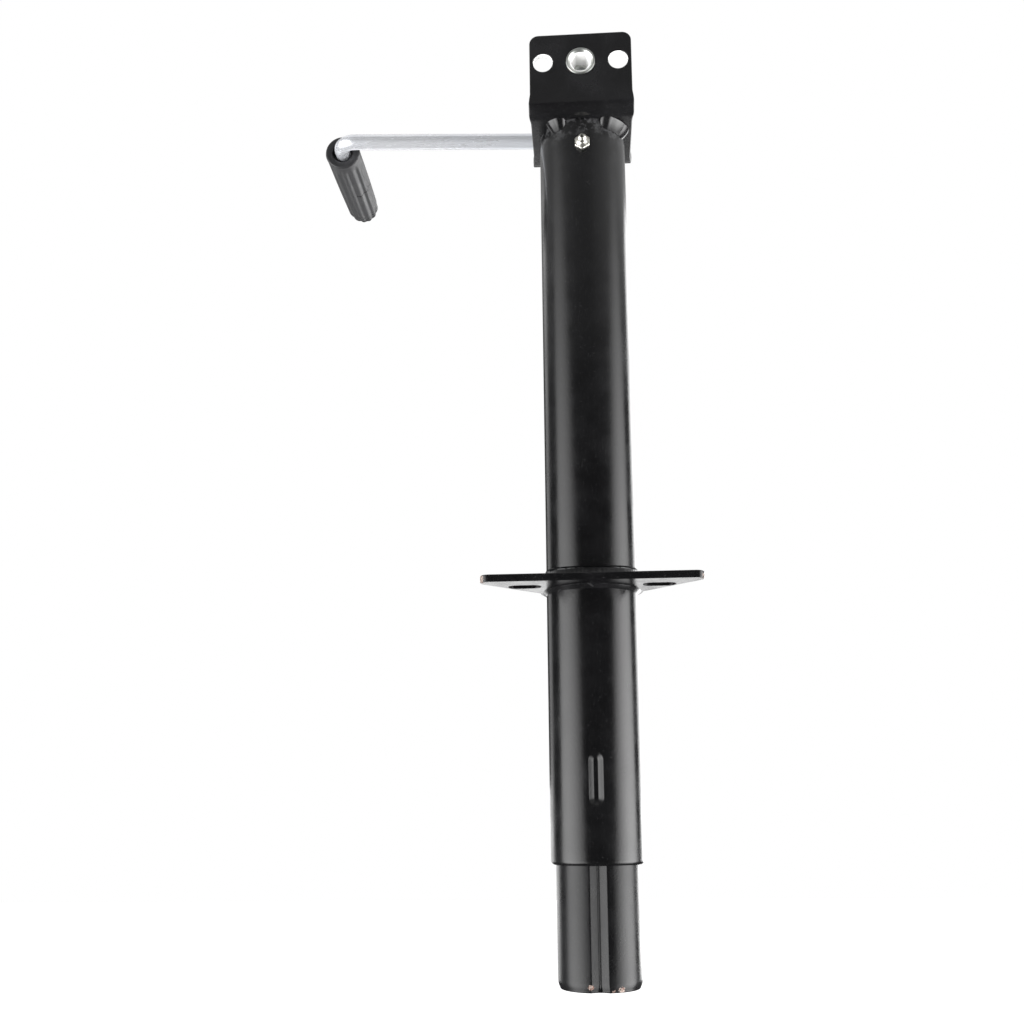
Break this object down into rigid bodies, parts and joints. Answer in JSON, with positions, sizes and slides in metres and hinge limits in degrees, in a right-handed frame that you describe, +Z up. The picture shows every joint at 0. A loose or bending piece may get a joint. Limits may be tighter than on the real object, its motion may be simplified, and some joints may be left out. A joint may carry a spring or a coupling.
{
  "type": "side-wind trailer tongue jack",
  "caption": "Side-wind tongue jack: a cranked gear bracket on a flanged tube winds a grooved drop leg down to lift a trailer's coupler.",
  "frame": {"origin": "on the tube axis, level with the underside of the mounting flange, which rests on the trailer's coupler around its jack hole", "axes": "+Z up along the tube; -Y is the front of the jack with the two slotted bolt holes; the crank is behind it with its arm towards -X"},
  "size_m": [0.2613, 0.2115, 0.6097],
  "materials": {
    "black_paint": "semi-gloss black powder coat",
    "weld_paint": "semi-gloss black powder coat over weld beads",
    "zinc_rod": "bright zinc plate",
    "zinc_sleeve": "dull zinc plate",
    "zinc_fitting": "zinc plate",
    "gear_steel": "sintered steel with a film of grease",
    "plain_steel": "turned steel",
    "bearing_steel": "ground",
    "spring_steel": "black oxide",
    "bronze": "machined bronze",
    "grip_plastic": "moulded, slightly glossy"
  },
  "bodies": {
    "outer": {"outer_tube": "black_paint", "mounting_flange": "black_paint", "flange_weld_upper": "weld_paint", "flange_weld_lower": "weld_paint", "gear_bracket": "black_paint", "bracket_welds": "weld_paint", "grease_fitting": "zinc_fitting", "upper_race": "bearing_steel", "bearing_cage": "bronze", "bearing_balls": "bearing_steel", "screw_bush": "bronze", "gear_washer": "bronze"},
    "screw": {"lead_screw": "plain_steel", "screw_collar": "plain_steel", "collar_pin": "spring_steel", "lower_race": "bearing_steel", "crown_gear": "gear_steel", "gear_key": "plain_steel", "gear_clip": "spring_steel"},
    "crank": {"crank_rod": "zinc_rod", "drive_sleeve": "zinc_sleeve", "pinion_gear": "gear_steel", "pinion_spacer": "zinc_sleeve", "drive_pin": "spring_steel", "sleeve_clip": "spring_steel", "rod_push_nut": "spring_steel"},
    "grip": {"grip": "grip_plastic", "grip_cap": "grip_plastic"},
    "leg": {"inner_tube": "black_paint", "lead_nut": "bronze", "nut_pins": "spring_steel"}
  },
  "joints": [
    {"name": "crank_spin", "type": "hinge", "parent": "outer", "child": "crank", "pos_m": [0, 0, 0.3485], "axis": [0, -1, 0], "range_deg": [0, 50400]},
    {"name": "screw_spin", "type": "hinge", "parent": "outer", "child": "screw", "pos_m": [0, 0, 0], "axis": [0, 0, -1], "range_deg": [0, 25200]},
    {"name": "leg_slide", "type": "slide", "parent": "outer", "child": "leg", "axis": [0, 0, -1], "range_m": [0, 0.35]},
    {"name": "grip_spin", "type": "hinge", "parent": "crank", "child": "grip", "pos_m": [-0.18081, 0.06, 0.35671], "axis": [0, -1, 0], "continuous": true}
  ],
  "couplings": [
    {"joint": "screw_spin", "follows": "crank_spin", "ratio": 0.5},
    {"joint": "leg_slide", "follows": "crank_spin", "m_per_rad": 0.00039789}
  ]
}
